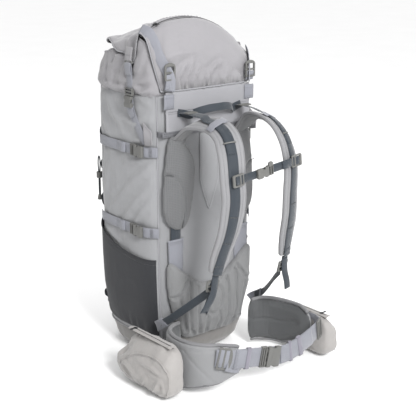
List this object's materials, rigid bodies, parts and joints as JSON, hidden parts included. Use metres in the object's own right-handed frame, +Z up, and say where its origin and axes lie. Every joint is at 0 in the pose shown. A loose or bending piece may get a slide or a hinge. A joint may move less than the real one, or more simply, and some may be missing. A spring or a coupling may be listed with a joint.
{
  "type": "hiking backpack",
  "caption": "Tall internal-frame hiking backpack with floating lid, stretch bottle pockets, padded harness and hip belt with zip pockets.",
  "frame": {"origin": "middle of the flat base that the pack stands on", "axes": "+Z up through the lid, harness faces -Y, the wearer's left is +X"},
  "size_m": [0.5176, 0.5611, 0.8734],
  "materials": {
    "packcloth": "woven ripstop nylon, matt",
    "lidcloth": "woven nylon, matt",
    "basecloth": "heavy woven nylon, matt",
    "stretch": "stretch woven pocket cloth",
    "mesh": "air mesh over foam",
    "strapcloth": "brushed nylon over foam",
    "webbing_navy": "woven webbing",
    "webbing_grey": "woven webbing",
    "hardware": "moulded acetal",
    "zip": "coil zip and moulded pull",
    "frame_sheet": "sheet plastic",
    "stay": "drawn bar"
  },
  "bodies": {
    "pack": {"back_panel": "packcloth", "front_panel": "packcloth", "side_panel_left": "packcloth", "side_panel_right": "packcloth", "bottom_panel": "basecloth", "extension_collar": "lidcloth", "collar_cord": "webbing_navy", "framesheet": "frame_sheet", "frame_stays": "stay", "bottle_pocket_left": "stretch", "bottle_pocket_right": "stretch", "front_pocket": "lidcloth", "daisy_chains": "webbing_navy", "tool_cords": "zip", "bottom_straps": "zip", "yoke_panel": "lidcloth", "torso_pad_left": "mesh", "torso_pad_right": "mesh", "centre_flap": "packcloth", "torso_webbing": "webbing_navy", "torso_sleeves": "webbing_grey", "lumbar_pad": "mesh", "shoulder_strap_left": "strapcloth", "shoulder_strap_right": "strapcloth", "strap_webbing": "webbing_navy", "load_lifters": "webbing_navy", "harness_adjusters": "hardware", "lower_webbing": "webbing_navy", "sternum_sliders": "hardware", "sternum_webbing": "webbing_navy", "sternum_socket": "hardware", "hip_wing_left": "mesh", "hip_wing_right": "mesh", "hip_pocket_left": "lidcloth", "hip_pocket_right": "lidcloth", "hip_zips": "zip", "hip_webbing_left": "webbing_grey", "hip_webbing_right": "webbing_grey", "hip_ladder_locks": "hardware", "hip_socket": "hardware", "lid_anchors": "webbing_grey", "lid_sockets": "hardware", "compression_webbing": "webbing_grey", "compression_sockets": "hardware"},
    "lid": {"lid_shell": "lidcloth", "lid_zip": "zip", "lid_straps": "webbing_grey", "lid_buckles": "hardware"},
    "lid_slider": {"lid_zip_slider": "zip"},
    "hip_plug": {"hip_plug": "hardware"},
    "sternum_plug": {"sternum_plug": "hardware"},
    "plug_upper_left": {"plug_upper_left": "hardware"},
    "plug_upper_right": {"plug_upper_right": "hardware"},
    "plug_lower_left": {"plug_lower_left": "hardware"},
    "plug_lower_right": {"plug_lower_right": "hardware"},
    "pocket_slider_left": {"hip_zip_slider_left": "zip"},
    "pocket_slider_right": {"hip_zip_slider_right": "zip"},
    "haul_loop": {"haul_loop": "webbing_navy"},
    "cord_lock_left": {"cord_lock_left": "hardware"},
    "cord_lock_right": {"cord_lock_right": "hardware"}
  },
  "joints": [
    {"name": "lid_hinge", "type": "hinge", "parent": "pack", "child": "lid", "pos_m": [0, -0.155, 0.6815], "axis": [1, 0, 0], "range_deg": [0, 88]},
    {"name": "lid_zip", "type": "hinge", "parent": "lid", "child": "lid_slider", "pos_m": [-0.043, -0.1, 0.634], "axis": [0, 1, 0], "range_deg": [0, 58]},
    {"name": "hip_buckle", "type": "slide", "parent": "pack", "child": "hip_plug", "axis": [-0.9781, 0, 0.2079], "range_m": [0, 0.035]},
    {"name": "sternum_buckle", "type": "slide", "parent": "pack", "child": "sternum_plug", "axis": [0.9941, 0, 0.1081], "range_m": [0, 0.024]},
    {"name": "buckle_upper_left", "type": "slide", "parent": "pack", "child": "plug_upper_left", "axis": [0, 1, 0], "range_m": [0, 0.022]},
    {"name": "buckle_upper_right", "type": "slide", "parent": "pack", "child": "plug_upper_right", "axis": [0, 1, 0], "range_m": [0, 0.022]},
    {"name": "buckle_lower_left", "type": "slide", "parent": "pack", "child": "plug_lower_left", "axis": [0, 1, 0], "range_m": [0, 0.022]},
    {"name": "buckle_lower_right", "type": "slide", "parent": "pack", "child": "plug_lower_right", "axis": [0, 1, 0], "range_m": [0, 0.022]},
    {"name": "pocket_zip_left", "type": "slide", "parent": "pack", "child": "pocket_slider_left", "axis": [0, 1, 0], "range_m": [0, 0.08]},
    {"name": "pocket_zip_right", "type": "slide", "parent": "pack", "child": "pocket_slider_right", "axis": [0, -1, 0], "range_m": [0, 0.12]},
    {"name": "haul_swing", "type": "hinge", "parent": "pack", "child": "haul_loop", "pos_m": [0, -0.165, 0.65], "axis": [-1, 0, 0], "range_deg": [0, 60]},
    {"name": "cord_lock_left", "type": "slide", "parent": "pack", "child": "cord_lock_left", "axis": [0, 0, -1], "range_m": [0, 0.022]},
    {"name": "cord_lock_right", "type": "slide", "parent": "pack", "child": "cord_lock_right", "axis": [0, 0, -1], "range_m": [0, 0.022]}
  ]
}
